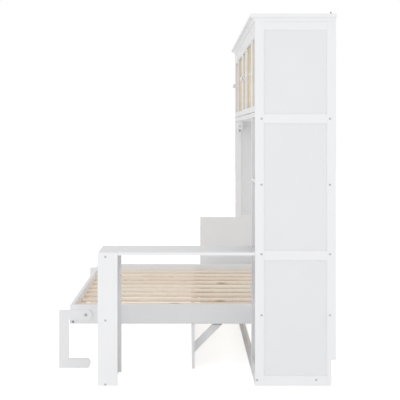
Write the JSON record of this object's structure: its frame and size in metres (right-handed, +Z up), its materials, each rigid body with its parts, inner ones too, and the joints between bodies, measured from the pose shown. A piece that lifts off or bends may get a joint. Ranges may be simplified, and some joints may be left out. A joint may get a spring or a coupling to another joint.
{
  "type": "wall bed with fold down desk",
  "caption": "White cabinet with cane doors on top, a slatted bed that tips sideways up into its niche, a fold-up desk leaf on a shelf leg and a far end panel.",
  "frame": {"origin": "centre of the bounding box on the floor", "axes": "+X along the wall towards the desk, +Y towards the wall, +Z up"},
  "size_m": [2.634, 1.57, 2.053],
  "materials": {
    "white_paint": "satin white paint on board",
    "white_panel": "matt white paint on thin board",
    "natural_pine": "bare planed pine",
    "woven_cane": "woven cane",
    "zinc_steel": "zinc plated",
    "white_steel": "white powder coat",
    "grey_steel": "grey powder coat",
    "black_steel": "black powder coat",
    "grey_cap": "moulded screw cap"
  },
  "bodies": {
    "cabinet": {"near_side_frame": "white_paint", "far_side_frame": "white_paint", "side_panels": "white_panel", "partition": "white_paint", "crown_nosing": "white_paint", "crown_cove": "white_paint", "upper_boards": "white_paint", "upper_dividers": "white_paint", "upper_face_rails": "white_paint", "upper_back": "white_panel", "column_shelves": "white_paint", "column_apron": "white_paint", "column_back": "white_panel", "kick_board": "white_paint", "wall_rails": "white_paint", "end_panel": "white_paint", "pivot_brackets": "zinc_steel", "strut_brackets": "zinc_steel", "latch_blocks": "white_paint", "wall_brackets": "black_steel", "side_caps": "grey_cap", "door_pins": "zinc_steel", "leaf_hinges": "white_steel"},
    "bed": {"bed_end_rails": "white_paint", "bed_long_rails": "white_paint", "slat_bearers": "natural_pine", "slats": "natural_pine", "fold_board": "white_paint", "braces": "white_paint", "brace_cleats": "grey_steel", "pivot_shafts": "zinc_steel", "strut_plates": "zinc_steel", "leg_bolts": "grey_steel"},
    "swing_leg_near": {"swing_leg_near": "white_paint"},
    "swing_leg_far": {"swing_leg_far": "white_paint"},
    "strut_tube_near": {"strut_tube_near": "grey_steel"},
    "strut_rod_near": {"strut_rod_near": "zinc_steel"},
    "strut_tube_far": {"strut_tube_far": "grey_steel"},
    "strut_rod_far": {"strut_rod_far": "zinc_steel"},
    "leaf": {"desk_leaf": "white_paint", "leaf_flaps": "white_steel"},
    "end_unit": {"unit_sides": "white_paint", "unit_shelves": "white_paint", "unit_back": "white_panel", "unit_flaps": "white_steel", "unit_caps": "grey_cap"},
    "latch_near": {"latch_bolt_near": "grey_steel"},
    "latch_far": {"latch_bolt_far": "grey_steel"},
    "door_1": {"door_1_frame": "white_paint", "door_1_infill": "woven_cane"},
    "door_2": {"door_2_frame": "white_paint", "door_2_infill": "woven_cane"},
    "door_3": {"door_3_frame": "white_paint", "door_3_infill": "woven_cane"},
    "door_4": {"door_4_frame": "white_paint", "door_4_infill": "woven_cane"},
    "door_5": {"door_5_frame": "white_paint", "door_5_infill": "woven_cane"}
  },
  "joints": [
    {"name": "bed_fold", "type": "hinge", "parent": "cabinet", "child": "bed", "pos_m": [-0.159, 0.416, 0.311], "axis": [-1, 0, 0], "range_deg": [0, 90]},
    {"name": "swing_leg_near_turn", "type": "hinge", "parent": "bed", "child": "swing_leg_near", "pos_m": [0.8328, -0.627, 0.3125], "axis": [-1, 0, 0], "range_deg": [-90, 0]},
    {"name": "swing_leg_far_turn", "type": "hinge", "parent": "bed", "child": "swing_leg_far", "pos_m": [-1.1508, -0.627, 0.3125], "axis": [-1, 0, 0], "range_deg": [-90, 0]},
    {"name": "strut_near_tilt", "type": "hinge", "parent": "cabinet", "child": "strut_tube_near", "pos_m": [0.8495, 0.672, 0.69], "axis": [-1, 0, 0], "range_deg": [0, 9.29]},
    {"name": "strut_near_stroke", "type": "slide", "parent": "strut_tube_near", "child": "strut_rod_near", "axis": [0, -0.2927, -0.9562], "range_m": [0, 0.18285]},
    {"name": "strut_far_tilt", "type": "hinge", "parent": "cabinet", "child": "strut_tube_far", "pos_m": [-1.1675, 0.672, 0.69], "axis": [-1, 0, 0], "range_deg": [0, 9.29]},
    {"name": "strut_far_stroke", "type": "slide", "parent": "strut_tube_far", "child": "strut_rod_far", "axis": [0, -0.2927, -0.9562], "range_m": [0, 0.18285]},
    {"name": "leaf_fold", "type": "hinge", "parent": "cabinet", "child": "leaf", "pos_m": [1.11, 0.34175, 0.73], "axis": [-1, 0, 0], "range_deg": [0, 90]},
    {"name": "end_unit_swing", "type": "hinge", "parent": "leaf", "child": "end_unit", "pos_m": [1.11, -0.41025, 0.714], "axis": [-1, 0, 0], "range_deg": [-90, 0]},
    {"name": "door_1_swing", "type": "hinge", "parent": "cabinet", "child": "door_1", "pos_m": [1.254, 0.352, 1.724], "axis": [0, 0, 1], "range_deg": [-0.6, 84.4]},
    {"name": "door_2_swing", "type": "hinge", "parent": "cabinet", "child": "door_2", "pos_m": [0.918, 0.352, 1.724], "axis": [0, 0, 1], "range_deg": [-0.6, 84.4]},
    {"name": "door_3_swing", "type": "hinge", "parent": "cabinet", "child": "door_3", "pos_m": [-0.147, 0.352, 1.724], "axis": [0, 0, -1], "range_deg": [-0.6, 84.4]},
    {"name": "door_4_swing", "type": "hinge", "parent": "cabinet", "child": "door_4", "pos_m": [-0.189, 0.352, 1.724], "axis": [0, 0, 1], "range_deg": [-0.6, 84.4]},
    {"name": "door_5_swing", "type": "hinge", "parent": "cabinet", "child": "door_5", "pos_m": [-1.254, 0.352, 1.724], "axis": [0, 0, -1], "range_deg": [-0.6, 84.4]},
    {"name": "latch_near_slide", "type": "slide", "parent": "cabinet", "child": "latch_near", "axis": [-1, 0, 0], "range_m": [0, 0.026]},
    {"name": "latch_far_slide", "type": "slide", "parent": "cabinet", "child": "latch_far", "axis": [1, 0, 0], "range_m": [0, 0.026]}
  ],
  "couplings": [
    {"joint": "swing_leg_near_turn", "follows": "bed_fold", "ratio": -1},
    {"joint": "swing_leg_far_turn", "follows": "bed_fold", "ratio": -1},
    {"joint": "strut_near_tilt", "follows": "bed_fold", "ratio": 0.10264},
    {"joint": "strut_near_stroke", "follows": "bed_fold", "m_per_rad": 0.11609},
    {"joint": "strut_far_tilt", "follows": "bed_fold", "ratio": 0.10264},
    {"joint": "strut_far_stroke", "follows": "bed_fold", "m_per_rad": 0.11609},
    {"joint": "end_unit_swing", "follows": "leaf_fold", "ratio": -1}
  ]
}
